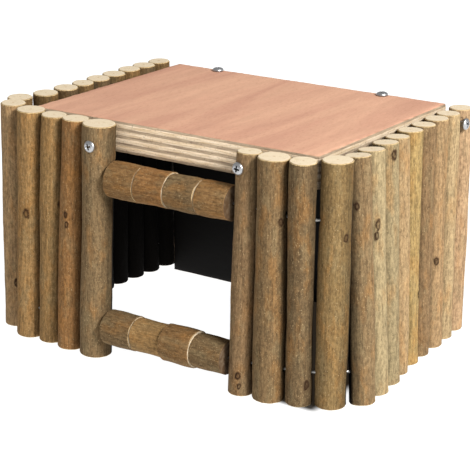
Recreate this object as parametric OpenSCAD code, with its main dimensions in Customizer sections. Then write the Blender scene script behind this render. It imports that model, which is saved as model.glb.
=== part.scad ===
// Hamster house: a plywood roof and back panel, walled on three sides by a mat of
// upright sawn branches that is threaded on two steel wires. Four short rungs on each
// wire bridge the entrance. Plan distances are first taken from the middle of the roof.

/* [Roof and back] */
// Length of the roof board along the front
roof_w = 188; // [150:1:240]
// Depth of the roof board from front to back
roof_d = 136; // [110:1:180]
// Thickness of the roof board
roof_t = 18; // [15:0.5:21]
// Height of the roof's upper face above the floor
roof_top = 134.5; // [120:0.5:160]
// Thickness of the back panel
back_t = 9; // [6:0.5:12]

/* [Log mat] */
// Usual thickness of a wall log
log_d = 14.2; // [13:0.1:15]
// Thickness of the entrance post on the left
left_post_d = 18.6; // [16:0.1:19.5]
// Thickness of the corner log on the right of the front
right_corner_d = 17.4; // [15:0.1:18]
// Gap between neighbouring logs, and between the logs and the roof
log_gap = 0.3; // [0.3:0.05:0.6]
// Part of a log's thickness that is lost where the branch draws in
log_waist = 0.05; // [0.02:0.005:0.08]
// Part of a rung's thickness that is lost in the same way
rung_waist = 0.025; // [0.01:0.005:0.04]
// Bevel that the saw leaves round the ends of a log
saw_bevel = 0.5; // [0.2:0.1:1]
// Drop of the front tops below the roof's upper face, right of the entrance
front_drop = 1; // [0:0.1:3]
// Drop of the right tops below the roof's upper face
right_drop = 2.2; // [0:0.1:4]
// Rise of the left tops above the roof's upper face
left_rise = 3; // [0:0.1:5]
// Height of the left logs' feet above the floor
left_foot_z = 3; // [0:0.1:4]

/* [Entrance] */
// Clear width of the entrance between the tops of its two posts
entrance_w = 80.4; // [70:0.1:95]
// Distance of the entrance's middle from the middle of the front
entrance_x = 9.8; // [-10:0.1:20]
// Thickness of a rung
rung_d = 20; // [17:0.5:22]
// Number of rungs on each wire
rung_count = 4; // [3:1:5]
// Gap between two rungs
rung_gap = 0.4; // [0.3:0.05:1]

/* [Wires and screws] */
// Thickness of the steel wire
wire_d = 1.6; // [1.2:0.1:2]
// Hole for the wire through logs and rungs
drill_d = 2.6; // [2.4:0.1:3.4]
// Height of the upper wire across the entrance
upper_z = 104.3; // [95:0.1:105]
// Height of the lower wire
lower_z = 18.2; // [15:0.1:24]
// Length of the hook at each end of a wire
hook_len = 6; // [4:0.5:10]
// Radius of a wire's bends, along its middle
bend_r = 2.5; // [2:0.1:3.5]
// Thickness of a screw's shank
screw_d = 3.5; // [3:0.1:4]
// Length of a screw under its head
screw_len = 35; // [30:1:40]
// Thickness of a screw's head across its face
head_d = 6.8; // [6:0.1:8]
// Height of a screw's head
head_h = 2.2; // [1.6:0.1:3]
// Height of the screws that go through logs into the roof's edge
edge_screw_z = 125; // [120:0.1:129]

/* [Hidden] */
$fn = 48;
row_count = 9;
stations = 8;

// How far each log is over or under the usual thickness
left_extra = [1, 0.6, 0.8, -0.2, 0.2, 0.4, -0.2, -0.2, 0.2];
front_extra = [0.9, 2.3, 1, 1.6, 0, 0, 3.6, 0.8, 0];
right_extra = [0.6, 0.4, 0.8, -0.2, 0, 0.2, 0.4, -0.4, 0.2];

// How far each top is over or under the usual height of its row
left_top_extra = [-1.5, -0.5, 0, 0, 0, 0, 0.3, 0, -0.3];
front_top_extra = [3, 2, 1.1, 1.3, 1.2, 0, 0, 0.2, 0.5];
right_top_extra = [0.4, 0, 0.2, -0.2, 0.1, 0, 0.2, 0, 0.3];

// Knots: log in its row, height, and turn from facing straight out of the house
left_knots = [[3, 88, 10], [6, 47, -15], [8, 108, 5]];
front_knots = [[1, 28, 40], [2, 76, 20], [4, 81, 5], [4, 75, 10], [6, 12, 20], [8, 13, 65],
               [9, 95, 70]];
right_knots = [[2, 93, -35], [2, 87, -40], [3, 126, -20], [5, 40, 15], [7, 52, -40]];
knot_r = 2.2;
knot_proud = 0.5;

// Offset of each log's foot from its top, in plan
left_lean = [[-4.7, 3.1], [-4.6, 3.1], for (i = [3 : 6]) [-4, 3.1],
             [-3, 3.1], [-1.5, 3.1], [0, 3.1]];
front_lean = [[-6.3, 2.5], [-7, -0.3], [-7, -1.5], [-6.9, -2.8], [-6.5, -1],
              [-4, -3.2], [-4.1, 1.5], [-4.3, 4.4], [-2.6, 0.9]];
right_lean = [[10.4, -6.8], [10.1, -6.8], [8.4, -6.4], [6.4, -6], [4, -5],
              [3, -4.2], [2.3, -3.6], [1.4, -2.5], [-0.3, -1.2]];

// Rise of the front left corner log's foot, how far the right row starts out from the roof,
// and how much further apart the last two logs of the left row stand
corner_foot_z = 1.5;
right_start = 2;
left_end_gap = 1.2;

// Where a rung draws in, how far it clears a leaning post, and each rung's own thickness
rung_post_gap = 0.8;
upper_rung_extra = [0.8, 0.4, 0, 0];
lower_rung_extra = [0.4, -0.8, 1.6, 0];

// Fall of the upper wire past the entrance, by the front right corner and at its right end
corner_fall = 2.2;
end_fall = 7;

// Screws: places on the roof; post, offset and rise of those in the posts; clearance of their
// holes, depth of their seats
roof_screw_x = [-61, 54.5];
roof_screw_y = roof_d / 2 - 4.5;
post_screw_places = [[5, 0.6, -1.7], [6, -2.6, 0]];
screw_clear = 0.2;
screw_seat = 1.2;
recess_w = 0.9;
recess_len = 3.8;
recess_deep = 1;
dome_r = 4.6;
tip_len = 4;

// How finely a wire is drawn, and how much wider the holes are where they meet in a log
wire_sides = 14;
bend_step = 16;
corner_room = 1.5;
corner_inset = 1.1;

roof_under = roof_top - roof_t;
half_w = roof_w / 2;
half_d = roof_d / 2;

// Thickness of each log, counted from 1: left and right rows run from the front to the
// back, the front row from its left corner, by the two posts, to its right corner
function left_size(i) = log_d + left_extra[i - 1];
function front_size(i) =
    i == 5 ? left_post_d :
    i == row_count ? right_corner_d :
    log_d + front_extra[i - 1];
function right_size(i) = log_d + right_extra[i - 1];

// Height of each log's top
function left_top(i) = roof_top + left_rise + left_top_extra[i - 1];
function front_top(i) = roof_top - front_drop + front_top_extra[i - 1];
function right_top(i) = roof_top - right_drop + right_top_extra[i - 1];

// Distance in plan between two round logs whose backs stand against one line
function step_along(a, b) = sqrt(pow((a + b) / 2 + log_gap, 2) - pow((a - b) / 2, 2));

// Place of each log's top in plan, stepped from the posts round to the back. A log that
// leans inwards starts far enough out to clear the roof's lower edge.
left_post_x = entrance_x - entrance_w / 2 - left_post_d / 2;
right_post_x = entrance_x + entrance_w / 2 + front_size(6) / 2;
function front_x(i) =
    i < 5 ? front_x(i + 1) - step_along(front_size(i), front_size(i + 1)) :
    i == 5 ? left_post_x :
    i == 6 ? right_post_x :
    front_x(i - 1) + step_along(front_size(i - 1), front_size(i));
function front_y(i) =
    -half_d - log_gap - front_size(i) / 2
    - max(0, front_lean[i - 1][1] * (1 - roof_under / front_top(i)));

// The front left corner log and the first two of the left row swing out round the corner
left_corner = [front_x(2) - 15.9, front_y(2) + 2.9];
left_first = left_corner + [-7.2, 13.8];
left_second = left_first + [8.2, 12.95];
right_corner = [half_w + right_corner_d / 2 + 1, -half_d + 2];

function left_x(i) =
    i == 1 ? left_first[0] :
    i == 2 ? left_second[0] :
    -half_w - log_gap - left_size(i) / 2;
function left_y(i) =
    i == 1 ? left_first[1] :
    i == 2 ? left_second[1] :
    left_y(i - 1) + (left_size(i - 1) + left_size(i)) / 2 + log_gap
    + (i == row_count ? left_end_gap : 0);
function right_x(i) =
    half_w + log_gap + right_size(i) / 2 + right_start * max(0, 5 - i) / 4;
function right_y(i) =
    i == 1 ? right_corner[1] + (right_corner_d + right_size(1)) / 2 + 2.8 :
    right_y(i - 1) + (right_size(i - 1) + right_size(i)) / 2 + log_gap;

function left_place(i) = [left_x(i), left_y(i)];
function right_place(i) = [right_x(i), right_y(i)];
function front_place(i) =
    i == 1 ? left_corner :
    i == row_count ? right_corner :
    [front_x(i), front_y(i)];

// Where the middle of a leaning log is at a height
function at_height(place, lean, top, z) = place + lean * (1 - z / top);
function left_at(i, z) = at_height(left_place(i), left_lean[i - 1], left_top(i), z);
function front_at(i, z) = at_height(front_place(i), front_lean[i - 1], front_top(i), z);
function right_at(i, z) = at_height(right_place(i), right_lean[i - 1], right_top(i), z);

// A wire runs straight from log 2 of the front to log 6, along the rungs' axis, and turns
// in the corner logs. Past the entrance the upper wire falls.
function wire_front_y(z) = (front_at(5, z)[1] + front_at(6, z)[1]) / 2;
function fall_share(z) = (z - lower_z) / (upper_z - lower_z);
function beside(place, size, z) = [place[0], place[1] + size / 2 + wire_d / 2 + 0.1, z];
function upright(place, z) = [place[0], place[1], z];
function wire_points(z) =
    let (low = z - corner_fall * fall_share(z), end = z - end_fall * fall_share(z),
         left_end = beside(left_at(row_count, z), left_size(row_count), z),
         right_end = beside(right_at(row_count, end), right_size(row_count), end))
    [
        left_end - [0, 0, hook_len],
        left_end,
        upright(left_at(2, z), z),
        upright(left_at(1, z), z),
        upright(front_at(1, z), z),
        [front_at(2, z)[0], wire_front_y(z), z],
        [front_at(6, z)[0], wire_front_y(z), z],
        upright(front_at(8, low), low),
        upright(front_at(row_count, low), low),
        upright(right_at(1, low), low),
        right_end,
        right_end - [0, 0, hook_len]
    ];

// Middle of the house's footprint, which is the part's origin
foot_left = left_at(1, left_foot_z)[0] - left_size(1) / 2;
foot_right = right_at(1, 0)[0] + right_size(1) / 2;
foot_front = front_at(5, 0)[1] - left_post_d / 2;
foot_back = wire_points(upper_z)[10][1] + wire_d / 2;
middle = [(foot_left + foot_right) / 2, (foot_front + foot_back) / 2];

// Radius of a branch at a share t of its length: it never passes size / 2
function branch_r(size, t, n, waist) =
    size / 2 * (1 - waist * (1 + sin(360 * (0.9 * t + 0.37 * n))) / 2);

bark = ["#8a6a4c", "#a08058", "#7b6450", "#94704a", "#6f5c4c", "#a3876a", "#86705a"];

// Unit vector along a stretch of a route, and how far a bend reaches along its two legs
function heading(route, i) = (route[i + 1] - route[i]) / norm(route[i + 1] - route[i]);
function turn_at(route, i) = acos(heading(route, i - 1) * heading(route, i));
function bend_reach(route, i) =
    i == 0 || i == len(route) - 1 ? 0 : bend_r * tan(turn_at(route, i) / 2);

// The way that the outside of a bend faces, for turning a round hollow's seam out of the way
function seam_turn(route, i) =
    let (out = heading(route, i - 1) - heading(route, i))
    atan2(out[1], out[0]);

// A round bar from one point to another
module rod(from, to, size) {
    span = to - from;
    translate(from)
        rotate([0, acos(span[2] / norm(span)), atan2(span[1], span[0])])
            cylinder(h = norm(span), d = size);
}

// Middle line of a wire: its ends, and each bend between them drawn as an arc. Every entry
// is a point and the way that the wire runs there.
function bend_line(route, i) =
    let (way = heading(route, i - 1), hinge = cross(way, heading(route, i)),
         inward = cross(hinge / norm(hinge), way),
         centre = route[i] - way * bend_reach(route, i) + inward * bend_r,
         steps = ceil(turn_at(route, i) / bend_step))
    [for (k = [0 : steps])
        let (a = turn_at(route, i) * k / steps)
        [centre + bend_r * (way * sin(a) - inward * cos(a)), way * cos(a) + inward * sin(a)]];
function wire_line(route) =
    let (last = len(route) - 1)
    concat(
        [[route[0], heading(route, 0)]],
        [for (i = [1 : last - 1]) each bend_line(route, i)],
        [[route[last], heading(route, last - 1)]]
    );

// A direction square to the wire at entry k, carried along from its start without a twist
function square_to(side, way) =
    let (flat = side - (side * way) * way)
    flat / norm(flat);
function side_at(line, k) =
    k == 0 ? square_to([1, 0, 0], line[0][1]) : square_to(side_at(line, k - 1), line[k][1]);

// One length of branch standing on its sawn foot, round its own axis
module branch(size, length, n, waist) {
    rotate_extrude()
        polygon(concat(
            [[0, 0], [branch_r(size, 0, n, waist) - saw_bevel, 0]],
            [for (s = [0 : stations])
                let (t = s / stations)
                [branch_r(size, t, n, waist), saw_bevel + t * (length - 2 * saw_bevel)]],
            [[branch_r(size, 1, n, waist) - saw_bevel, length], [0, length]]
        ));
}

// A branch whose top is at place and whose foot is offset by lean; out is the way it
// faces, and knots holds the knots of its whole row
module wall_log(place, lean, size, foot_z, top_z, n, out, knots) {
    length = top_z - foot_z - size / 2 * norm(lean) / top_z;
    axis = [-lean[0], -lean[1], top_z];
    tilt = acos(axis[2] / norm(axis));
    foot = at_height(place, lean, top_z, foot_z);
    translate([foot[0], foot[1], foot_z + size / 2 * sin(tilt)])
        rotate([0, 0, atan2(axis[1], axis[0])])
            rotate([0, tilt, 0])
                rotate([0, 0, -atan2(axis[1], axis[0])]) {
                    branch(size, length, n, log_waist);
                    for (knot = knots)
                        if (knot[0] == n)
                            rotate([0, 0, out + knot[2]])
                                translate([size / 2 + knot_proud - knot_r, 0, knot[1]])
                                    sphere(r = knot_r, $fn = 24);
                }
}

// The holes of both wires through a stretch of their route, with the bends inside it. A
// straight hole stops short of the hollow that joins it to the next one.
function short_of(i) = i > 1 && i < 10 ? corner_inset : 0;
module wire_holes(first, last) {
    for (z = [lower_z, upper_z]) {
        route = wire_points(z);
        for (i = [first : last - 1])
            rod(route[i] + short_of(i) * heading(route, i),
                route[i + 1] - short_of(i + 1) * heading(route, i), drill_d);
        for (i = [first + 1 : 1 : last - 1])
            translate(route[i])
                rotate([0, 0, seam_turn(route, i)])
                    sphere(d = drill_d * corner_room);
    }
}

// A wood screw that points down from the origin, its head above it
module screw() {
    translate([0, 0, -screw_len + tip_len])
        cylinder(h = screw_len - tip_len, d = screw_d);
    translate([0, 0, -screw_len])
        cylinder(h = tip_len, d1 = 0.6, d2 = screw_d);
    difference() {
        intersection() {
            cylinder(h = head_h, d = head_d);
            translate([0, 0, head_h - dome_r]) sphere(r = dome_r);
        }
        for (turn = [0, 90])
            rotate([0, 0, turn])
                translate([-recess_len / 2, -recess_w / 2, head_h - recess_deep])
                    cube([recess_len, recess_w, recess_deep + 1]);
    }
}

// The hole that a screw leaves, with a flat seat under its head
module screw_hole() {
    translate([0, 0, -screw_len - 1])
        cylinder(h = screw_len + 2, d = screw_d + screw_clear);
    cylinder(h = head_h + 6, d = head_d + 0.4);
}

// The places of the screws that hold the mat to the roof's edge
module at_post_screws() {
    for (place = post_screw_places) {
        z = edge_screw_z + place[2];
        spot = front_at(place[0], z);
        translate([spot[0] + place[1], spot[1] - front_size(place[0]) / 2 + screw_seat, z])
            rotate([90, 0, 0])
                children();
    }
}
module at_right_screw() {
    spot = right_at(row_count, edge_screw_z);
    translate([spot[0] + right_size(row_count) / 2 - screw_seat, half_d - 3.5, edge_screw_z])
        rotate([0, 90, 0])
            children();
}
module at_left_screw() {
    spot = left_at(row_count, edge_screw_z);
    translate([spot[0] - left_size(row_count) / 2 + screw_seat, spot[1], edge_screw_z])
        rotate([0, -90, 0])
            children();
}
module at_roof_screws() {
    for (x = roof_screw_x)
        translate([x, roof_screw_y, roof_top])
            children();
}

module roof_panel() {
    color("#c79a84")
    difference() {
        translate([-half_w, -half_d, roof_under])
            cube([roof_w, roof_d, roof_t]);
        at_roof_screws() screw_hole();
        at_post_screws() screw_hole();
        at_right_screw() screw_hole();
        at_left_screw() screw_hole();
    }
}

module back_panel() {
    color("#c9ab7e")
    difference() {
        translate([-half_w, half_d - back_t, 0])
            cube([roof_w, back_t, roof_under]);
        at_roof_screws() screw_hole();
    }
}

module left_log(i) {
    color(bark[(i * 3) % len(bark)])
    difference() {
        wall_log(left_place(i), left_lean[i - 1], left_size(i), left_foot_z, left_top(i),
                 i, 180, left_knots);
        if (i == 1) wire_holes(2, 4);
        else if (i == 2) wire_holes(1, 3);
        else wire_holes(1, 2);
        if (i == row_count) at_left_screw() screw_hole();
    }
}

module front_log(i) {
    color(bark[(i * 2) % len(bark)])
    difference() {
        wall_log(front_place(i), front_lean[i - 1], front_size(i),
                 i == 1 ? corner_foot_z : 0, front_top(i), i, -90, front_knots);
        if (i == 1) wire_holes(3, 5);
        else if (i == 2) wire_holes(4, 6);
        else if (i < 6) wire_holes(5, 6);
        else if (i == 6) wire_holes(5, 7);
        else if (i == 7) wire_holes(6, 7);
        else if (i == 8) wire_holes(6, 8);
        else wire_holes(7, 9);
        if (i == 5 || i == 6) at_post_screws() screw_hole();
    }
}

module right_log(i) {
    color(bark[(i * 4) % len(bark)])
    difference() {
        wall_log(right_place(i), right_lean[i - 1], right_size(i), 0, right_top(i),
                 i, 0, right_knots);
        if (i == 1) wire_holes(8, 10);
        else wire_holes(9, 10);
        if (i == row_count) at_right_screw() screw_hole();
    }
}

// A rung turns on its wire between the posts, its ends sawn square
module rung(i, z, extra) {
    left_face = front_at(5, z)[0] + left_post_d / 2 + rung_post_gap;
    right_face = front_at(6, z)[0] - front_size(6) / 2 - rung_post_gap;
    length = (right_face - left_face - (rung_count - 1) * rung_gap) / rung_count;
    translate([left_face + (i - 1) * (length + rung_gap), wire_front_y(z), z])
        rotate([0, 90, 0])
            difference() {
                branch(rung_d + extra[i - 1], length, i, rung_waist);
                translate([0, 0, -1]) cylinder(h = length + 2, d = drill_d);
            }
}
module upper_rung(i) { color("#8f5f3c") rung(i, upper_z, upper_rung_extra); }
module lower_rung(i) { color("#a2774c") rung(i, lower_z, lower_rung_extra); }

// A wire drawn as rings round its middle line
module wire(z) {
    line = wire_line(wire_points(z));
    rings = len(line);
    points = [
        for (k = [0 : rings - 1])
            let (side = side_at(line, k), up = cross(line[k][1], side))
            for (n = [0 : wire_sides - 1])
                let (a = 360 * n / wire_sides)
                line[k][0] + wire_d / 2 * (side * cos(a) + up * sin(a))
    ];
    function at(k, n) = k * wire_sides + n % wire_sides;
    skin = [
        for (k = [0 : rings - 2], n = [0 : wire_sides - 1])
            each [[at(k, n), at(k + 1, n), at(k, n + 1)],
                  [at(k, n + 1), at(k + 1, n), at(k + 1, n + 1)]]
    ];
    near_cap = [for (n = [1 : wire_sides - 2]) [at(0, 0), at(0, n), at(0, n + 1)]];
    far_cap = [
        for (n = [1 : wire_sides - 2])
            [at(rings - 1, 0), at(rings - 1, n + 1), at(rings - 1, n)]
    ];
    color("#b9bcc0")
        polyhedron(points = points, faces = concat(skin, near_cap, far_cap));
}
module upper_wire() { wire(upper_z); }
module lower_wire() { wire(lower_z); }

module roof_screws() { color("#c8cbd0") at_roof_screws() screw(); }
module post_screws() { color("#c8cbd0") at_post_screws() screw(); }
module end_screws() {
    color("#c8cbd0") {
        at_left_screw() screw();
        at_right_screw() screw();
    }
}

translate([-middle[0], -middle[1], 0]) {
    roof_panel();
    back_panel();
    for (i = [1 : row_count]) {
        left_log(i);
        front_log(i);
        right_log(i);
    }
    for (i = [1 : rung_count]) {
        upper_rung(i);
        lower_rung(i);
    }
    upper_wire();
    lower_wire();
    roof_screws();
    post_screws();
    end_screws();
}
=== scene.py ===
"""Looks of the wooden hamster house: bark-covered logs, plywood, wires and screws, each
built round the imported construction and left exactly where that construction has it."""

import math
import random

import bmesh
import bpy
from mathutils import Matrix, Vector, noise


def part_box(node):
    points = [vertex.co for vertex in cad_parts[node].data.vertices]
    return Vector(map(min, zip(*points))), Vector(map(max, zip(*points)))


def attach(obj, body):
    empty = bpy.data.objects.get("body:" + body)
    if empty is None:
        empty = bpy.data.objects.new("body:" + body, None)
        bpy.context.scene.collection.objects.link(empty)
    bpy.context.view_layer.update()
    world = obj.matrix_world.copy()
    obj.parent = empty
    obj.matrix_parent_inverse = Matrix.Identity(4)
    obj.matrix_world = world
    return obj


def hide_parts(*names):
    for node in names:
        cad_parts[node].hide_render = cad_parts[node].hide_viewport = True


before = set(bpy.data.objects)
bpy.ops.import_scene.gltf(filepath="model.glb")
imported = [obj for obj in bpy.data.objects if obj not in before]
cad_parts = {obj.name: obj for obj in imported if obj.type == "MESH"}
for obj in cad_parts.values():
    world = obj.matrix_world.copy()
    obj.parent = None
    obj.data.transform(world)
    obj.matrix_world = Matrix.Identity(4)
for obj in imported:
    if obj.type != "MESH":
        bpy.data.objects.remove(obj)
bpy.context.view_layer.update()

MM = 0.001
HOUSE = "house"
SHARP_FROM = math.radians(38)

# Camera of the photograph, in the part's frame
CAMERA_PLACE = Vector((0.51384, -0.73999, 0.3550))
CAMERA_YAW = math.radians(34.78)
CAMERA_DOWN = math.radians(18.24)
CAMERA_ROLL = math.radians(-0.16)
CAMERA_LENS = 126.24
SENSOR_WIDTH = 36


def add_camera():
    camera = bpy.data.objects.new("camera", bpy.data.cameras.new("camera"))
    camera.data.lens = CAMERA_LENS
    camera.data.sensor_width = SENSOR_WIDTH
    turn = Matrix.Rotation(CAMERA_YAW, 4, "Z") @ Matrix.Rotation(math.pi / 2 - CAMERA_DOWN, 4, "X")
    camera.matrix_world = (
        Matrix.Translation(CAMERA_PLACE) @ turn @ Matrix.Rotation(CAMERA_ROLL, 4, "Z")
    )
    bpy.context.scene.collection.objects.link(camera)
    bpy.context.scene.camera = camera


# ---------------------------------------------------------------- materials


def paint(code):
    """Linear colour of a six-digit colour code."""
    parts = [int(code[i : i + 2], 16) / 255 for i in (0, 2, 4)]
    return tuple(
        [c / 12.92 if c <= 0.04045 else ((c + 0.055) / 1.055) ** 2.4 for c in parts] + [1.0]
    )


class Value:
    """A number or vector inside a finish, with the maths that the finishes use."""

    def __init__(self, finish, socket):
        self.finish = finish
        self.socket = socket

    def maths(self, operation, *terms, clamp=False):
        settings = {"operation": operation, "use_clamp": clamp}
        return self.finish.node("ShaderNodeMath", settings, dict(enumerate(terms)))

    def __add__(self, other):
        return self.maths("ADD", self, other)

    __radd__ = __add__

    def __mul__(self, other):
        return self.maths("MULTIPLY", self, other)

    def __sub__(self, other):
        return self.maths("SUBTRACT", self, other)

    def __rsub__(self, other):
        return self.maths("SUBTRACT", other, self)

    def __truediv__(self, other):
        return self.maths("DIVIDE", self, other)

    def wave(self):
        return self.maths("SINE", self)

    def limited(self):
        return self.maths("ADD", self, 0.0, clamp=True)

    def step(self, low, high):
        """0 under low, 1 over high and smooth between them."""
        settings = {"interpolation_type": "SMOOTHSTEP"}
        return self.finish.node("ShaderNodeMapRange", settings, {0: self, 1: low, 2: high})


class Finish:
    """One material: a principled shader and the nodes that feed it."""

    def __init__(self, name, **constants):
        self.material = bpy.data.materials.new(name)
        self.material.use_nodes = True
        self.tree = self.material.node_tree
        self.shader = self.tree.nodes["Principled BSDF"]
        for socket, value in constants.items():
            self.shader.inputs[socket.replace("_", " ")].default_value = value

    def node(self, kind, settings=None, inputs=None, out=0):
        made = self.tree.nodes.new(kind)
        for key, value in (settings or {}).items():
            setattr(made, key, value)
        for key, value in (inputs or {}).items():
            if isinstance(value, Value):
                self.tree.links.new(value.socket, made.inputs[key])
            else:
                made.inputs[key].default_value = value
        return Value(self, made.outputs[out])

    def attribute(self, name, out=0):
        return self.node("ShaderNodeAttribute", {"attribute_name": name}, out=out)

    def place(self):
        return self.node("ShaderNodeTexCoord", out=3)

    def millimetres(self):
        """The place on the house in mm."""
        return self.node("ShaderNodeVectorMath", {"operation": "SCALE"},
                         {0: self.place(), 3: 1 / MM})

    def parts(self, vector):
        """The X, Y and Z of a vector."""
        made = self.tree.nodes.new("ShaderNodeSeparateXYZ")
        self.tree.links.new(vector.socket, made.inputs[0])
        return [Value(self, socket) for socket in made.outputs]

    def stretch(self, vector, scale, shift=(0.0, 0.0, 0.0)):
        return self.node("ShaderNodeMapping", inputs={0: vector, 1: shift, 3: scale})

    def shifted(self, vector, number, ways=(17.3, 9.1, 31.7)):
        """The vector moved by a number of its own, so that two pieces differ."""
        move = self.node("ShaderNodeVectorMath", {"operation": "SCALE"}, {0: ways, 3: number})
        return self.node("ShaderNodeVectorMath", {"operation": "ADD"}, {0: vector, 1: move})

    def grains(self, vector, scale=1.0, detail=4.0, rough=0.55, bend=0.0):
        names = {"Vector": vector, "Scale": scale, "Detail": detail, "Roughness": rough}
        names["Distortion"] = bend
        return self.node("ShaderNodeTexNoise", inputs=names)

    def blend(self, share, first, second, way="MIX"):
        settings = {"data_type": "RGBA", "blend_type": way}
        return self.node("ShaderNodeMix", settings, {0: share, 6: first, 7: second}, out=2)

    def shade(self, colour, amount):
        """The colour made darker or lighter by a number."""
        grey = self.node("ShaderNodeCombineColor", inputs={0: amount, 1: amount, 2: amount})
        return self.blend(1.0, colour, grey, "MULTIPLY")

    def relief(self, height, strength, depth):
        inputs = {"Height": height, "Strength": strength, "Distance": depth}
        bump = self.node("ShaderNodeBump", inputs=inputs)
        self.tree.links.new(bump.socket, self.shader.inputs["Normal"])

    def finish(self, **values):
        for socket, value in values.items():
            self.tree.links.new(value.socket, self.shader.inputs[socket.replace("_", " ")])
        return self.material


# Faces inside the house, which no light reaches
UNLIT = "090604"


def bark_finish():
    """Dry branch bark: fibres along the branch, patches of other bark, specks and knots."""
    make = Finish("branch_bark", Roughness=0.85, Specular_IOR_Level=0.08)
    grain = make.shifted(make.attribute("grain", 1), make.attribute("piece", 2))
    fibre = make.grains(make.stretch(grain, (1.1, 1.1, 0.11)), detail=6, rough=0.7)
    streak = make.grains(make.stretch(grain, (0.45, 0.45, 0.035)), detail=3, rough=0.5)
    patch = make.grains(make.stretch(grain, (0.11, 0.11, 0.05), (5.0, 2.0, 0.0)), detail=4)
    moss = make.grains(make.stretch(grain, (0.17, 0.17, 0.07), (0.0, 9.0, 4.0)), detail=5)
    mottled = make.stretch(grain, (0.7, 0.7, 0.4), (2.0, 6.0, 3.0))
    mottle = make.grains(mottled, detail=5, rough=0.7)
    speck = make.grains(make.stretch(grain, (1.7, 1.7, 0.9)), detail=3, rough=0.6)
    fleck = make.grains(make.stretch(grain, (1.8, 1.8, 1.0), (8.0, 3.0, 1.0)), detail=2)
    tint = make.attribute("tint")
    warm = make.blend(0.4, tint, paint("9a6830"))
    cool = make.blend(0.45, tint, paint("7a6d50"))
    deep = make.blend(0.5, tint, paint("3f2b1a"))
    colour = make.blend(patch.step(0.48, 0.68) * 0.7, tint, warm)
    colour = make.blend(moss.step(0.5, 0.64) * 0.6, colour, cool)
    colour = make.blend(streak.step(0.5, 0.68) * 0.5, colour, deep)
    depth = 0.54 + fibre.step(0.34, 0.66) * 0.42 + mottle.step(0.3, 0.7) * 0.62
    colour = make.shade(colour, depth)
    colour = make.blend(speck.step(0.56, 0.7) * 0.4, colour, paint("33241a"))
    colour = make.blend(fleck.step(0.62, 0.72) * 0.5, colour, paint("c4ab80"))
    # Painted shade on the sides of the logs that turn away from the outside, between neighbouring
    # logs
    colour = make.shade(colour, 1.0 - make.attribute("painted_side_shade", 2) * 0.45)
    mark = make.attribute("knot", 2)
    knot = mark + (mottle - 0.5) * 0.9 * mark
    middle = knot.step(0.7, 0.95)
    scar = knot.step(0.2, 0.6) * (0.4 + speck * 1.0) * (1.0 - middle * 0.35)
    colour = make.blend(scar.limited(), colour, paint("2c1b10"))
    worn = make.attribute("worn", 2)
    edge = (worn * (0.3 + fleck * 1.1)).step(0.5, 0.72)
    colour = make.blend(edge, colour, paint("c3aa7d"))
    # Painted shade in the wires' bores, and painted shadow round the screws' heads
    colour = make.blend(make.attribute("bore_and_screw_shade", 2).step(0.3, 0.75), colour, paint("100a06"))
    # Painted shade on the faces inside the house, under the roof
    colour = make.blend(make.attribute("inner", 2).step(0.1, 0.9), colour, paint(UNLIT))
    make.relief(fibre * 0.6 + speck * 0.3 + mottle * 0.7, 0.8, 0.5 * MM)
    return make.finish(Base_Color=colour, Roughness=0.75 + fibre * 0.2)


def sawn_finish():
    """Pale sawn end of a branch: rings round the pith, rays, saw marks, a line of bark."""
    make = Finish("sawn_end", Roughness=0.75, Specular_IOR_Level=0.25)
    grain = make.attribute("grain", 1)
    apart = make.shifted(grain, make.attribute("piece", 2))
    drift = make.grains(make.stretch(apart, (0.22, 0.22, 0.0)), detail=3)
    flat = make.node("ShaderNodeVectorMath", {"operation": "MULTIPLY"}, {0: grain, 1: (1, 1, 0)})
    reach = make.node("ShaderNodeVectorMath", {"operation": "LENGTH"}, {0: flat}, out=1)
    rings = ((reach + drift * 1.6) * 6.0).wave() * 0.5 + 0.5
    cloud = make.grains(make.stretch(apart, (0.35, 0.35, 0.35)), detail=4)
    fuzz = make.grains(make.stretch(apart, (3.5, 1.1, 1.0)), detail=4, rough=0.7)
    colour = make.blend(rings * 0.3, paint("ecdabb"), paint("d9be98"))
    colour = make.blend(cloud.step(0.5, 0.72) * 0.4, colour, paint("c9b084"))
    colour = make.shade(colour, 0.68 + fuzz * 0.3)
    pith = 1.0 - (reach + drift * 0.8).step(0.5, 1.3)
    colour = make.blend(pith * 0.55, colour, paint("a9783f"))
    rind = 1.0 - (make.attribute("skin", 2) + drift * 0.7).step(0.6, 1.0)
    colour = make.blend(rind * 0.9, colour, paint("705230"))
    # The sawn face at the right end of each last rung is darker
    end_darkening = make.attribute("darker_end", 2) * (0.75 + cloud * 0.4)
    colour = make.blend(end_darkening.limited(), colour, paint("4d3823"))
    make.relief(fuzz * 0.7 + rings * 0.3, 0.5, 0.2 * MM)
    return make.finish(Base_Color=colour)


# Where the right-hand cut edge of the roof stands; the light strikes it squarely, so it gets
# painted shade
RIGHT_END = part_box("roof_panel")[1].x / MM


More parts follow.
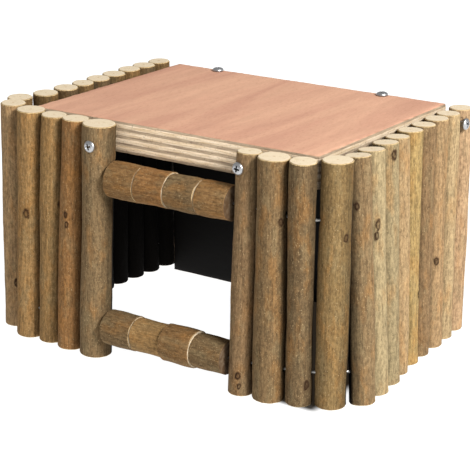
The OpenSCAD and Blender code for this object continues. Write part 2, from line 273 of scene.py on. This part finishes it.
def plywood_finish(name, axis, start, sheet, codes, grain_ways, edge_relief):
    """Plywood: a thin face veneer with long grain, and the plies on the cut edges.

    The plies are stacked along axis from start; grain_ways are how tightly the face's
    grain is packed along X, Y and Z."""
    make = Finish(name, Roughness=0.6, Specular_IOR_Level=0.15)
    place = make.millimetres()
    parts = make.parts(place)
    height = parts[axis] - start
    wander = make.grains(make.stretch(place, (0.02, 0.02, 0.02)), detail=2)
    level = (height + (wander - 0.5) * 1.1) / sheet
    cross = (level * math.pi).wave().step(0.0, 0.5)
    layered = [0.09, 0.09, 0.09]
    layered[axis] = 1.6
    along = make.grains(make.stretch(place, layered), detail=5, rough=0.65)
    open_grain = make.grains(make.stretch(place, (1.4, 1.4, 1.1)), detail=4, rough=0.7)
    pale = make.blend(along.step(0.35, 0.65), paint("e9d6bc"), paint("cbb08c"))
    grey = make.blend(along.step(0.35, 0.7), paint("baa58a"), paint("8d7a66"))
    edge = make.blend(cross, pale, grey)
    # Painted shade on the right-hand cut edge, which the light strikes squarely
    right = parts[0].step(RIGHT_END - 1.0, RIGHT_END - 0.6)
    edge = make.shade(edge, (0.95 + open_grain * 0.6) * (1.0 - right * 0.4))
    pits = open_grain.step(0.56, 0.66) * 0.7
    edge = make.blend(pits, edge, paint("4d3826"))
    fine_ways, wide_ways, pore_ways = ([way * size for way in grain_ways]
                                       for size in (0.2, 0.04, 2.2))
    face_grain = make.grains(make.stretch(place, fine_ways), detail=4, rough=0.6, bend=0.6)
    broad = make.grains(make.stretch(place, wide_ways, (3.0, 1.0, 0.0)), detail=2, bend=1.2)
    pores = make.grains(make.stretch(place, pore_ways), detail=3, rough=0.6)
    face = make.blend(broad.step(0.32, 0.7), paint(codes[0]), paint(codes[1]))
    face = make.shade(face, 0.85 + face_grain * 0.3)
    face = make.blend(pores.step(0.54, 0.68) * 0.28, face, paint("8a5440"))
    flat_share = make.attribute("face", 2)
    colour = make.blend(flat_share.step(0.35, 0.6), edge, face)
    colour = make.blend(make.attribute("worn", 2).step(0.2, 0.9) * 0.5, colour, paint("8a6a4e"))
    # Painted shade on the inner face: the roof's underside and the back panel's inside
    colour = make.blend(make.attribute("inner", 2), colour, paint(UNLIT))
    height_map = pores * 0.25 * flat_share + (1.0 - flat_share) * (open_grain + cross * -0.7)
    make.relief(height_map, edge_relief, 0.25 * MM)
    return make.finish(Base_Color=colour, Roughness=0.5 + pores * 0.25)


def steel_finish(name, code, rough):
    """Bright metal with fine drawn scratches and duller blotches."""
    make = Finish(name, Metallic=1.0, Roughness=rough)
    place = make.millimetres()
    blotch = make.grains(place, scale=0.9, detail=4)
    scratch = make.grains(make.stretch(place, (0.6, 6.0, 6.0)), detail=3)
    colour = make.blend(blotch.step(0.45, 0.75) * 0.5, paint(code), paint("8b8a86"))
    # Painted shade in the floor of the screws' cross recess and round the underside of their heads
    colour = make.blend(make.attribute("recess", 2), colour, paint("0c0c0c"))
    make.relief(scratch, 0.25, 0.05 * MM)
    return make.finish(Base_Color=colour, Roughness=rough - 0.08 + blotch * 0.25)


def floor_finish():
    """A white floor that glows, except for painted shade in the closed corner inside the house."""
    make = Finish("pale_floor", Roughness=0.9, Specular_IOR_Level=0.1)
    x, y, _ = make.parts(make.place())
    # Painted shade in the closed corner inside the house, past the line of sight
    corner = (x + y * SIGHT_SLANT).step(*PAST_ENTRANCE) * y.step(*PAST_FRONT_LOGS)
    corner = corner * (1.0 - x.step(*PAST_RIGHT_LOGS)) * (1.0 - y.step(*PAST_BACK_PANEL))
    base = make.blend(corner, *FLOOR_BASE)
    glow = make.blend(corner, *FLOOR_EMISSION)
    make.shader.inputs["Emission Strength"].default_value = FLOOR_GLOW
    return make.finish(Base_Color=base, Emission_Color=glow)


# ---------------------------------------------------------------- logs and rungs

LOG_SIDES = 72
LOG_ROWS = 110
RUNG_ROWS = 26
SAW_BEVEL = 0.5
# Rounding of the sawn rims of logs and rungs, and how far down the bark is worn off there
RIM_ROUND = 0.8
RUNG_ROUND = 0.4
LOG_WEAR = 0.9
RUNG_WEAR = 0.45
# Width of the wire's bore, and depth of the dent round it
BORE = 2.6
HOLE_DENT = 0.9
# Radius of the shade round a screw's head, and height under which the logs face the inside
SCREW_SHADE = 4.0
UNDER_ROOF = 116.0
# Distance under which two vertices are one
MERGE = 0.0005

# The logs in their order round the mat, and the height of each wire in each of them
MAT = ([f"left_log_{i}" for i in range(9, 0, -1)] + [f"front_log_{i}" for i in range(1, 10)]
       + [f"right_log_{i}" for i in range(1, 10)])
LOWER_Z = 18.2
UPPER_Z = [104.3] * 16 + [102.1] * 3 + [101.5 - 0.6 * i for i in range(8)]

# Bark colours, from the greyest and darkest to the palest
BARK = {
    "soot": "66533a",
    "umber": "6b563b",
    "grey": "745f43",
    "moss": "7a6340",
    "drab": "775f43",
    "oak": "7a5c3a",
    "brown": "80643f",
    "red": "835f3a",
    "tan": "8c6d45",
    "fawn": "8b7151",
    "ash": "8a7a5b",
    "straw": "8d764c",
    "pale": "907857",
    "blush": "967b5d",
    "cream": "9f8865",
}

# The bark of each wall log, from the front row's left corner, and from front to back
FRONT_BARK = ["fawn", "tan", "brown", "red", "grey", "drab", "umber", "soot", "moss"]
LEFT_BARK = ["tan", "brown", "umber", "tan", "grey", "brown", "tan", "grey", "tan"]
RIGHT_BARK = ["grey", "ash", "ash", "pale", "straw", "drab", "fawn", "cream", "blush"]
UPPER_BARK = ["oak", "red", "umber", "oak"]
LOWER_BARK = ["umber", "tan", "oak", "umber"]

# Knots: height of the knot above the log's foot in mm, turn in degrees from facing
# straight out of the house, and its size in mm
KNOTS = {
    "left_log_3": [(88, 10, 2.2)],
    "left_log_6": [(47, -15, 2.2)],
    "left_log_8": [(108, 5, 2.2)],
    "front_log_1": [(28, 40, 2.0)],
    "front_log_2": [(76, 20, 2.3)],
    "front_log_3": [(84, 75, 2.2)],
    "front_log_4": [(81, 5, 1.6), (75, 10, 1.7)],
    "front_log_6": [(12, 20, 2.0), (6, 25, 1.5)],
    "front_log_7": [(101, 62, 1.9)],
    "front_log_8": [(13, 65, 2.2)],
    "front_log_9": [(95, 70, 1.9)],
    "right_log_1": [(107, -68, 1.7)],
    "right_log_2": [(93, -35, 1.9), (87, -40, 1.8)],
    "right_log_3": [(126, -20, 2.4)],
    "right_log_5": [(40, 15, 1.8)],
    "right_log_7": [(52, -40, 2.0)],
}


def cad_points(node):
    return [v.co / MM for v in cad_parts[node].data.vertices]


def middle_of(points, axes):
    return [(min(p[a] for p in points) + max(p[a] for p in points)) / 2 for a in axes]


class Stick:
    """The straight axis of a log or rung, in mm, and its radius along that axis."""

    STATIONS = 8
    NEAR = 0.4

    def __init__(self, node, axis):
        points = cad_points(node)
        low = min(p[axis] for p in points)
        high = max(p[axis] for p in points)
        band = 3 * SAW_BEVEL
        first = Vector(middle_of([p for p in points if p[axis] < low + band], (0, 1, 2)))
        last = Vector(middle_of([p for p in points if p[axis] > high - band], (0, 1, 2)))
        self.way = (last - first).normalized()
        reach = [(p - first).dot(self.way) for p in points]
        self.foot = first + self.way * min(reach)
        self.length = max(reach) - min(reach)
        along = [((p - self.foot).dot(self.way), p) for p in points]
        self.stations = []
        for step in range(self.STATIONS + 1):
            height = SAW_BEVEL + step / self.STATIONS * (self.length - 2 * SAW_BEVEL)
            near = sorted((p - self.foot - self.way * at).length
                          for at, p in along if abs(at - height) < self.NEAR)
            if near:
                self.stations.append((height, near[len(near) // 2]))

    def radius(self, height):
        spots = self.stations
        if height <= spots[0][0]:
            return spots[0][1]
        for (low, first), (high, last) in zip(spots, spots[1:]):
            if height <= high:
                return first + (last - first) * (height - low) / (high - low)
        return spots[-1][1]

    def at_level(self, height):
        return self.foot + self.way * ((height - self.foot.z) / self.way.z)

    def matrix(self):
        turn = Vector((0, 0, 1)).rotation_difference(self.way).to_matrix().to_4x4()
        return Matrix.Translation(self.foot) @ turn


MEASURED = {}


def stick_of(node, axis):
    """The stick of a node, measured only once."""
    if node not in MEASURED:
        MEASURED[node] = Stick(node, axis)
    return MEASURED[node]


def bored_ways(node):
    """Where each wire comes through a log's skin: its height, and the ways to both sides."""
    place = MAT.index(node)
    here = stick_of(node, 2)
    spots = []
    for level in (LOWER_Z, UPPER_Z[place]):
        sides = [stick_of(MAT[k], 2).at_level(level) - here.at_level(level)
                 for k in (place - 1, place + 1) if 0 <= k < len(MAT)]
        if len(sides) == 1:
            sides.append(-sides[0])
        spots += [(level, math.atan2(side.y, side.x)) for side in sides]
    return spots


def face_rings(radius, bore):
    """Where the rings of vertices lie on a sawn face, from its middle outwards."""
    return [bore, (bore + radius) * 0.35, radius * 0.6, radius * 0.82]


def outline(stick, rows, bore, rim):
    """Half of the stick's lengthwise section, as points of reach and height."""
    top = stick.length
    foot_r, top_r = stick.radius(0), stick.radius(top)
    points = [(r, 0.0) for r in face_rings(foot_r, bore)]
    corner = [(rim * (1 - math.sin(a)), rim * (1 - math.cos(a))) for a in
              (math.radians(d) for d in (0, 22, 45, 68))]
    points += [(foot_r - drop, rise) for drop, rise in corner]
    for row in range(rows + 1):
        height = rim + row / rows * (top - 2 * rim)
        points.append((stick.radius(height), height))
    points += [(top_r - drop, top - rise) for drop, rise in reversed(corner)]
    return points + [(r, top) for r in reversed(face_rings(top_r, bore))]


def across(stick, place):
    """How far a place is from the stick's axis."""
    return (place - stick.foot).cross(stick.way).length


def spun(points, sides, closed=False):
    """A round shell spun about Z from half a section, closed where it has a bore."""
    bm = bmesh.new()
    chain = [bm.verts.new((r, 0, z)) for r, z in points]
    edges = [bm.edges.new(pair) for pair in zip(chain, chain[1:])]
    if closed:
        edges.append(bm.edges.new((chain[-1], chain[0])))
    bmesh.ops.spin(bm, geom=chain + edges, cent=(0, 0, 0), axis=(0, 0, 1),
                   angle=math.tau, steps=sides, use_merge=True)
    bmesh.ops.remove_doubles(bm, verts=bm.verts, dist=MERGE)
    bmesh.ops.recalc_face_normals(bm, faces=bm.faces)
    return bm


def around(angle, way, radius):
    """How far round the skin one way is from another, in mm."""
    aside = angle - way
    return math.atan2(math.sin(aside), math.cos(aside)) * radius


def swell(ca, sa, z, shift):
    """How far the bark stands out, in mm: lumps, ripples, fibres and scales."""
    lump = noise.noise(Vector((ca * 0.9, sa * 0.9, z / 22 + shift)))
    ripple = noise.noise(Vector((ca * 2.6, sa * 2.6, z / 8 + shift)))
    fibre = noise.noise(Vector((ca * 9, sa * 9, z / 26 + shift)))
    scale = noise.noise(Vector((ca * 17, sa * 17, z / 3.2 + shift)))
    return 0.32 * lump + 0.14 * ripple + 0.11 * fibre + 0.06 * scale - 0.2


def share_of(amount):
    """The amount, kept between 0 and 1."""
    return min(1.0, max(0.0, amount))


def hill(distance):
    """1 at no distance, falling smoothly to 0."""
    return math.exp(-distance * distance)


def branch(name, node, axis, out_angle, tint, body, rows, bore, seed):
    """A length of natural branch that follows the CAD log or rung it stands for."""
    stick = stick_of(node, axis)
    luck = random.Random(seed)
    knots = KNOTS.get(node, [])
    rim = RUNG_ROUND if bore else RIM_ROUND
    bm = spun(outline(stick, rows, bore, rim), LOG_SIDES, closed=bore > 0)
    grain = bm.verts.layers.float_vector.new("grain")
    tints = bm.verts.layers.float_color.new("tint")
    marks = ("piece", "knot", "worn", "bore_and_screw_shade", "skin", "inner", "painted_side_shade", "darker_end")
    piece, knot_mark, worn, bore_and_screw_shade, skin, inner, painted_side_shade, darker_end = [
        bm.verts.layers.float.new(mark) for mark in marks]
    shade = luck.uniform(0.9, 1.08)
    colour = [c * shade for c in paint(BARK[tint])[:3]] + [1.0]
    bow_out = luck.uniform(-0.3, 0.3)
    bow_side = luck.uniform(-0.18, 0.18)
    oval = luck.uniform(0, math.pi)
    shift = luck.uniform(0, 500)
    frame_matrix = stick.matrix()
    local_out = frame_matrix.to_3x3().inverted() @ Vector(
        (math.cos(out_angle), math.sin(out_angle), 0)
    )
    facing = math.atan2(local_out.y, local_out.x)
    bores = [] if bore else bored_ways(node)
    rings = [seat for seat in seats if abs(across(stick, seat) - stick.radius(seat.z)) < 3]
    # The back logs of the left wall get the painted shade further round their sides
    hidden_from = -0.9 if node in MAT[:7] else 0.2

    for v in bm.verts:
        x, y, z = v.co
        reach = math.hypot(x, y)
        angle = math.atan2(y, x)
        full = stick.radius(z)
        share = reach / full
        ca, sa = math.cos(angle), math.sin(angle)
        rise = swell(ca, sa, z, shift) + 0.12 * math.cos(2 * (angle - oval))
        mark = 0.0
        for at, turn, size in knots:
            aside = around(angle, facing + math.radians(turn), full)
            bent = noise.noise(Vector((aside * 0.7, (z - at) * 0.5, shift + at)))
            distance = math.hypot(aside * 1.25, (z - at) * 0.75) / size * (1 + 0.5 * bent)
            rise += 0.75 * hill(distance) - 0.4 * hill(distance / 0.42)
            mark = max(mark, hill(distance * 0.95))
        # Dent, and painted shade, round each place where a wire enters the log
        dent_and_shade = 0.0
        for level, way in bores:
            rising = z + stick.foot.z - level
            distance = math.hypot(around(angle, way, full), rising)
            dent_and_shade = max(dent_and_shade, hill(distance / BORE * 1.6))
        rise -= HOLE_DENT * dent_and_shade
        spot = frame_matrix @ v.co
        # Painted shadow round the head of each screw in this log
        for seat in rings:
            dent_and_shade = max(dent_and_shade, 0.6 * hill(((spot - seat).length - SCREW_SHADE) / 0.5))
        v[grain] = (x, y, z)
        v[piece] = seed % 97
        v[knot_mark] = mark
        v[bore_and_screw_shade] = dent_and_shade
        v[tints] = colour
        end = min(z, stick.length - z)
        last_end = node.endswith("rung_4") and z > stick.length / 2
        # The sawn face at the right end of each last rung is darker
        v[darker_end] = float(last_end)
        on_skin = share > 0.9
        if on_skin and bore == 0:
            v[worn] = hill(end / LOG_WEAR)
        elif on_skin and not last_end:
            patchy = noise.noise(Vector((ca * 2, sa * 2, shift + z / 9)))
            v[worn] = hill(end / RUNG_WEAR) * (0.75 + patchy)
        if bore == 0 and node != "right_log_9":
            outward = math.cos(angle - facing)
            covered = share_of((UNDER_ROOF - stick.foot.z - z) / 3)
            # Painted shade on the sides that turn away from the outside, where the logs meet their
            # neighbours
            v[painted_side_shade] = share_of(1.35 - 2 * outward)
            # Painted shade on the faces inside the house, under the roof
            v[inner] = covered * share_of(-outward * 2.5 - hidden_from)
        v[skin] = full - reach
        bow = math.sin(math.pi * z / stick.length)
        push = 1 + rise * share / full if reach > 0 else 1
        side_x = math.cos(facing) * bow_out - math.sin(facing) * bow_side
        side_y = math.sin(facing) * bow_out + math.cos(facing) * bow_side
        if bore == 0:
            x += side_x * bow
            y += side_y * bow
        elif reach <= bore * 1.05:
            push = 1
        chip = 0.18 * noise.noise(Vector((ca * 5, sa * 5, shift + z))) * on_skin
        if end < rim * 1.2:
            push += chip / full
        v.co = (v.co.x * push + (x - v.co.x), v.co.y * push + (y - v.co.y), z)

    for face in bm.faces:
        centre = face.calc_center_median()
        face.material_index = int(abs(face.normal.z) > 0.8 and
                                  min(centre.z, stick.length - centre.z) < rim * 0.4)
    bmesh.ops.transform(bm, matrix=Matrix.Scale(MM, 4) @ frame_matrix, verts=bm.verts)
    return finished(name, bm, [finishes["bark"], finishes["sawn"]], body, node)


def finished(name, bm, materials, body, *nodes):
    """A mesh piece made of the bmesh, riding on its body in place of its CAD nodes."""
    for face in bm.faces:
        face.smooth = True
    mesh = bpy.data.meshes.new(name)
    bm.to_mesh(mesh)
    bm.free()
    mesh.set_sharp_from_angle(angle=SHARP_FROM)
    for material in materials:
        mesh.materials.append(material)
    piece = bpy.data.objects.new(name, mesh)
    bpy.context.scene.collection.objects.link(piece)
    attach(piece, body)
    if nodes:
        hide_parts(*nodes)
    return piece


def build_logs():
    rows = (("left_log", math.pi, LEFT_BARK), ("front_log", -math.pi / 2, FRONT_BARK),
            ("right_log", 0.0, RIGHT_BARK))
    for r, (row, out, barks) in enumerate(rows):
        for i, bark in enumerate(barks, 1):
            node = f"{row}_{i}"
            piece = branch(f"{node}_branch", node, 2, out, bark, HOUSE, LOG_ROWS, 0.0,
                           100 * r + 7 * i + 3)


def build_rungs():
    for r, (row, barks) in enumerate((("upper_rung", UPPER_BARK), ("lower_rung", LOWER_BARK))):
        for i, bark in enumerate(barks, 1):
            node = f"{row}_{i}"
            piece = branch(f"{node}_branch", node, 0, -math.pi / 2, bark, node, RUNG_ROWS,
                           BORE / 2, 500 + 100 * r + 11 * i)


# ---------------------------------------------------------------- plywood

# Thickness of one ply, the widest step between vertices, and what counts as on a face
PLY = 2.0
GRID = 2.0
ON_FACE = 0.01


def board(name, node, material, relief):
    """A plywood board: worn corners, and on its cut edges each cross ply set back."""
    low, high = (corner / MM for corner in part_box(node))
    size = high - low
    bm = bmesh.new()
    bmesh.ops.create_cube(bm, size=1)
    bmesh.ops.scale(bm, vec=size, verts=bm.verts)
    bmesh.ops.translate(bm, vec=(low + high) / 2, verts=bm.verts)
    thin = min(range(3), key=lambda a: size[a])
    for axis in range(3):
        edges = [e for e in bm.edges
                 if abs((e.verts[0].co - e.verts[1].co)[axis]) > size[axis] * 0.9]
        step = PLY / 4 if axis == thin else GRID
        bmesh.ops.subdivide_edges(bm, edges=edges, use_grid_fill=True,
                                  cuts=round(size[axis] / step) - 1)
    bmesh.ops.recalc_face_normals(bm, faces=bm.faces)
    face_share = bm.verts.layers.float.new("face")
    worn = bm.verts.layers.float.new("worn")
    inner = bm.verts.layers.float.new("inner")
    wide = [a for a in range(3) if a != thin]
    for v in bm.verts:
        gaps = [min(v.co[a] - low[a], high[a] - v.co[a]) for a in range(3)]
        rough = noise.noise(v.co * 0.35)
        fine = noise.noise(v.co * 1.1)
        on_edge = min(gaps[a] for a in wide) < ON_FACE
        v[face_share] = 0.0 if on_edge and gaps[thin] > 0.3 else 1.0
        near = sorted(gaps)
        v[inner] = float(v.co[thin] - low[thin] < ON_FACE)
        v[worn] = hill(near[1] / 0.7) * (0.5 + rough)
        push = Vector((0, 0, 0))
        for a in range(3):
            if gaps[a] > ON_FACE:
                continue
            inward = 1 if v.co[a] - low[a] < ON_FACE else -1
            depth = 0.04 + 0.05 * abs(fine)
            if a in wide:
                level = (v.co[thin] - low[thin]) / PLY
                depth += relief * (0.5 + 0.5 * math.sin(level * math.pi)) + 0.1 * abs(rough)
            depth += (0.35 + 0.25 * rough) * hill(near[1] / 0.6)
            push[a] += inward * depth
        v.co += push
    bmesh.ops.scale(bm, vec=(MM, MM, MM), verts=bm.verts)
    piece = finished(name, bm, [material], HOUSE, node)


# ---------------------------------------------------------------- screws

# Each pair of screws, and the axis along which it is driven
SCREWS = (("roof_screws", 2), ("post_screws", 1), ("end_screws", 0))
HEAD_R = 3.4
HEAD_H = 2.2
HEAD_WALL = 0.55
SHANK_R = 1.35
SHANK_LENGTH = 35.0
# How far the plain part of the shank reaches up into the head
SEATED = 0.2
THREAD_R = 1.75
THREAD_TOP = -12
THREAD_WIDTH = 0.7
PITCH = 1.6
STEPS_PER_TURN = 20
TIP = 4.0
# Length and width of the cross recess, at its mouth and at its floor, and its depth
RECESS = ((4.4, 1.15), (2.4, 0.6))
RECESS_DEEP = 1.5


def head_section():
    """Half section of a pan head: flat under, a short wall, then a low dome."""
    points = [(0, 0), (HEAD_R * 0.97, 0), (HEAD_R, 0.15), (HEAD_R, HEAD_WALL)]
    for degrees in range(10, 91, 10):
        a = math.radians(degrees)
        rise = HEAD_WALL + (HEAD_H - HEAD_WALL) * math.sin(a)
        points.append((HEAD_R * math.cos(a) ** 0.75, rise))
    points[-1] = (0, HEAD_H)
    return points


def to_object(bm, name):
    mesh = bpy.data.meshes.new(name)
    bm.to_mesh(mesh)
    bm.free()
    made = bpy.data.objects.new(name, mesh)
    bpy.context.scene.collection.objects.link(made)
    return made


def recess_cutter():
    """A cross that narrows towards its floor."""
    bm = bmesh.new()
    (wide_l, wide_w), (deep_l, deep_w) = RECESS
    for turn in (0, math.pi / 2):
        made = bmesh.ops.create_cube(bm, size=1)["verts"]
        for v in made:
            top = v.co.z > 0
            v.co.x *= wide_l if top else deep_l
            v.co.y *= wide_w if top else deep_w
            v.co.z = HEAD_H + 0.6 if top else HEAD_H - RECESS_DEEP
        bmesh.ops.rotate(bm, verts=made, cent=(0, 0, 0), matrix=Matrix.Rotation(turn, 3, "Z"))
    return to_object(bm, "recess_cutter")


def screw_mesh():
    """One wood screw along Z, its head's underside at the origin."""
    head = to_object(spun(head_section(), 48), "screw_head")
    cutter = recess_cutter()
    cut = head.modifiers.new("recess", "BOOLEAN")
    cut.operation = "DIFFERENCE"
    cut.solver = "EXACT"
    cut.use_self = True
    cut.object = cutter
    bpy.context.view_layer.update()
    solid = bpy.data.meshes.new_from_object(
        head.evaluated_get(bpy.context.evaluated_depsgraph_get())
    )
    bm = bmesh.new()
    bm.from_mesh(solid)
    recess = bm.verts.layers.float.new("recess")
    # Painted shade on the recess floor and on the head's underside
    for v in bm.verts:
        deep = abs(v.co.z - HEAD_H + RECESS_DEEP) < 0.02 and math.hypot(v.co.x, v.co.y) < 1.4
        v[recess] = float(deep or v.co.z < SEATED)
    for made in (head, cutter):
        bpy.data.objects.remove(made)
    tip_top = -SHANK_LENGTH + TIP
    shank = spun([(0, -SHANK_LENGTH), (SHANK_R * 0.5, -SHANK_LENGTH + TIP * 0.45),
                  (SHANK_R, tip_top), (SHANK_R, THREAD_TOP), (THREAD_R, THREAD_TOP + 1),
                  (THREAD_R, SEATED), (0, SEATED)], 24)
    core = bpy.data.meshes.new("screw_core")
    shank.to_mesh(core)
    shank.free()
    bm.from_mesh(core)
    root = SHANK_R - 0.1
    ridge = [bm.verts.new((reach, 0, tip_top + rise)) for reach, rise in
             ((root, 0), (THREAD_R, THREAD_WIDTH / 2), (root, THREAD_WIDTH))]
    loop = [bm.edges.new((ridge[k], ridge[(k + 1) % 3])) for k in range(3)]
    turns = (THREAD_TOP - 0.5 - tip_top) / PITCH
    bm.faces.new(ridge)
    bmesh.ops.spin(bm, geom=ridge + loop, cent=(0, 0, 0), axis=(0, 0, 1),
                   steps=int(turns * STEPS_PER_TURN), angle=turns * math.tau,
                   dvec=(0, 0, PITCH / STEPS_PER_TURN))
    bmesh.ops.recalc_face_normals(bm, faces=bm.faces)
    mesh = bpy.data.meshes.new("wood_screw")
    bm.to_mesh(mesh)
    bm.free()
    return mesh


def screw_places(node, axis):
    """The seat and the outward way of each of the node's two screws."""
    points = cad_points(node)
    split = sum(middle_of(points, (0,)))
    places = []
    for group in ([p for p in points if p.x < split], [p for p in points if p.x >= split]):
        centre = Vector(middle_of(group, (0, 1, 2)))
        outward = Vector((0, 0, 0))
        sign = {"roof_screws": 1, "post_screws": -1}.get(node, 1 if centre.x > 0 else -1)
        outward[axis] = sign
        reach = max((p - centre).dot(outward) for p in group)
        places.append((centre + outward * (reach - HEAD_H), outward))
    return places


def build_screws():
    pattern = screw_mesh()
    luck = random.Random(41)
    for node, axis in SCREWS:
        bm = bmesh.new()
        for seat, outward in screw_places(node, axis):
            fresh = pattern.copy()
            turn = Vector((0, 0, 1)).rotation_difference(outward).to_matrix().to_4x4()
            spin = Matrix.Rotation(luck.uniform(0, math.pi / 2), 4, "Z")
            fresh.transform(Matrix.Scale(MM, 4) @ Matrix.Translation(seat) @ turn @ spin)
            bm.from_mesh(fresh)
            bpy.data.meshes.remove(fresh)
        piece = finished(f"{node}_zinc", bm, [finishes["zinc"]], HOUSE, node)


# ---------------------------------------------------------------- stage

# The floor's own colour and what it gives off, each in the open and in the painted shade
FLOOR_BASE = ((0.2, 0.2, 0.2, 1), (0.02, 0.02, 0.02, 1))
FLOOR_EMISSION = ((1, 1, 1, 1), (0.02, 0.015, 0.01, 1))
FLOOR_GLOW = 1.0
WORLD_GLOW = 0.4
KEY_PLACE = (1.4, -0.4, 1.05)
KEY_SIZE = 0.6
KEY_WATTS = 48
AIM = (0, 0, 0.06)

# Where the painted shade on the floor starts and ends, in m: beyond the slanting line of sight
# past the entrance's right post, and under the logs and the panel that close it in
SIGHT_SLANT = 0.7
PAST_ENTRANCE = (0.005, 0.017)
PAST_FRONT_LOGS = (-0.076, -0.07)
PAST_RIGHT_LOGS = (0.096, 0.104)
PAST_BACK_PANEL = (0.066, 0.0715)


def add_floor():
    bm = bmesh.new()
    bmesh.ops.create_grid(bm, x_segments=1, y_segments=1, size=6)
    floor = to_object(bm, "floor")
    floor.data.materials.append(floor_finish())


def add_light(name, place, aim, size, watts):
    lamp = bpy.data.lights.new(name, "AREA")
    lamp.shape = "DISK"
    lamp.size = size
    lamp.energy = watts
    holder = bpy.data.objects.new(name, lamp)
    holder.location = place
    holder.rotation_euler = (Vector(aim) - Vector(place)).to_track_quat("-Z", "Y").to_euler()
    bpy.context.scene.collection.objects.link(holder)


def add_lights():
    bpy.context.scene.view_settings.view_transform = "Standard"
    world = bpy.context.scene.world or bpy.data.worlds.new("studio")
    bpy.context.scene.world = world
    world.use_nodes = True
    sky = world.node_tree.nodes["Background"]
    sky.inputs[0].default_value = (1, 1, 1, 1)
    sky.inputs[1].default_value = WORLD_GLOW
    add_light("key", KEY_PLACE, AIM, KEY_SIZE, KEY_WATTS)


# ---------------------------------------------------------------- the house

finishes = {
    "bark": bark_finish(),
    "sawn": sawn_finish(),
    "zinc": steel_finish("zinc_plate", "bdbec0", 0.32),
    "wire": steel_finish("drawn_wire", "b4b2ad", 0.38),
}

# Where the heads of the screws in the logs lie
seats = [seat for node, axis in SCREWS if node != "roof_screws"
         for seat, outward in screw_places(node, axis)]

add_camera()
build_logs()
build_rungs()

roof_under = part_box("roof_panel")[0].z / MM
back_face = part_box("back_panel")[0].y / MM
finishes["roof"] = plywood_finish(
    "roof_plywood", 2, roof_under, PLY, ("d2a386", "c4937a"), (1.0, 0.14, 1.0), 0.8
)
finishes["back"] = plywood_finish(
    "back_plywood", 1, back_face, PLY, ("c8a27c", "b98d68"), (0.08, 1.0, 1.0), 0.6
)
board("roof_board", "roof_panel", finishes["roof"], 0.14)
board("back_board", "back_panel", finishes["back"], 0.1)
build_screws()
for wire in ("upper_wire", "lower_wire"):
    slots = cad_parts[wire].data.materials
    slots.clear()
    slots.append(finishes["wire"])

add_floor()
add_lights()
